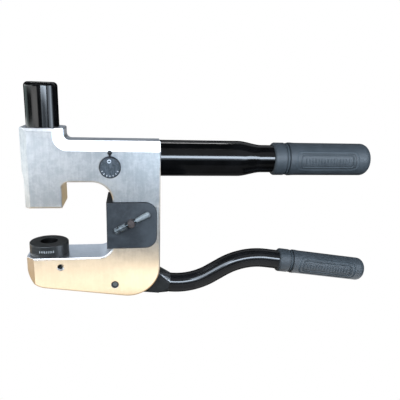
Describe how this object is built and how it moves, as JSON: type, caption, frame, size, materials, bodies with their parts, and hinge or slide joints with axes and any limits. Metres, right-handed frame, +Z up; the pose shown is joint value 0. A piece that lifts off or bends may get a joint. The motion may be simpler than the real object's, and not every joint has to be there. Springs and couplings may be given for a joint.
{
  "type": "hand hydraulic hole punch",
  "caption": "Hand-pumped C-frame hole punch: a ram drives a round punch into a die in the jaw, with a reservoir handle, a pump lever, a release knob and a sliding edge guide.",
  "frame": {"origin": "centre of the die's cutting face, on the punch axis", "axes": "+Z up along the punch axis out of the die, +X from the punch towards the handles, +Y through the frame's thickness, away from the release knob"},
  "size_m": [0.4801, 0.0743, 0.2855],
  "materials": {
    "frame_metal": "satin, cast and machined",
    "black_paint": "gloss black",
    "grip_rubber": "matte blue-grey",
    "dark_steel": "black oxide",
    "steel": "ground",
    "bronze": "machined bearing bronze",
    "seal": "moulded",
    "slate": "matte dark slate",
    "grey_plastic": "moulded light grey"
  },
  "bodies": {
    "frame": {"frame_head": "frame_metal", "frame_jaw": "frame_metal", "frame_dowels": "steel", "die": "dark_steel", "die_lock_screw": "dark_steel", "cylinder_barrel": "black_paint", "barrel_seal": "seal", "ram_bush": "bronze", "ram_wiper": "seal", "return_spring": "steel", "reservoir_tube": "black_paint", "reservoir_bladder": "seal", "filler_plug": "steel", "filler_seal": "seal", "upper_grip": "grip_rubber", "valve_gland": "steel", "valve_seal": "seal", "release_ball": "steel", "pump_spring": "steel", "pump_gland": "steel", "pump_seal": "seal", "check_valve_plugs": "steel", "check_balls": "steel", "check_springs": "steel", "lever_pivot_pin": "dark_steel", "pivot_circlips": "dark_steel"},
    "ram": {"ram": "steel", "piston_seal": "seal", "punch": "dark_steel", "punch_screw": "steel"},
    "release": {"release_knob": "slate", "knob_thumb_pin": "slate", "knob_grub_screw": "steel", "valve_spindle": "steel"},
    "plunger": {"pump_plunger": "steel"},
    "lever": {"lever_knuckle": "black_paint", "pivot_bush": "bronze", "cam_roller": "steel", "roller_pin": "steel", "lever_tube": "black_paint", "lever_grip": "grip_rubber"},
    "guide": {"edge_guide": "slate"},
    "clamp": {"clamp_screw": "dark_steel", "clamp_bar": "steel", "bar_handle": "grey_plastic", "bar_end_nut": "steel"}
  },
  "joints": [
    {"name": "ram_slide", "type": "slide", "parent": "frame", "child": "ram", "axis": [0, 0, -1], "range_m": [0, 0.055], "stiffness_N_per_m": 800, "springref_m": -0.03, "deforming": ["return_spring"]},
    {"name": "release_turn", "type": "hinge", "parent": "frame", "child": "release", "pos_m": [0.0828, -0.0323, 0.1051], "axis": [0, -1, 0], "range_deg": [0, 120]},
    {"name": "lever_pivot", "type": "hinge", "parent": "frame", "child": "lever", "pos_m": [0.086, 0, -0.0546], "axis": [0, -1, 0], "range_deg": [0, 18], "stiffness_Nm_per_rad": 3.5, "springref_deg": -11.46},
    {"name": "plunger_slide", "type": "slide", "parent": "frame", "child": "plunger", "axis": [0, 0, 1], "range_m": [0, 0.0108], "deforming": ["pump_spring"]},
    {"name": "guide_slide", "type": "slide", "parent": "frame", "child": "guide", "axis": [-1, 0, 0], "range_m": [0, 0.015]},
    {"name": "clamp_turn", "type": "hinge", "parent": "guide", "child": "clamp", "pos_m": [0.1083, -0.0373, 0.0337], "axis": [0, -1, 0], "range_deg": [0, 180]}
  ],
  "couplings": [
    {"joint": "plunger_slide", "follows": "lever_pivot", "m_per_rad": 0.034}
  ]
}
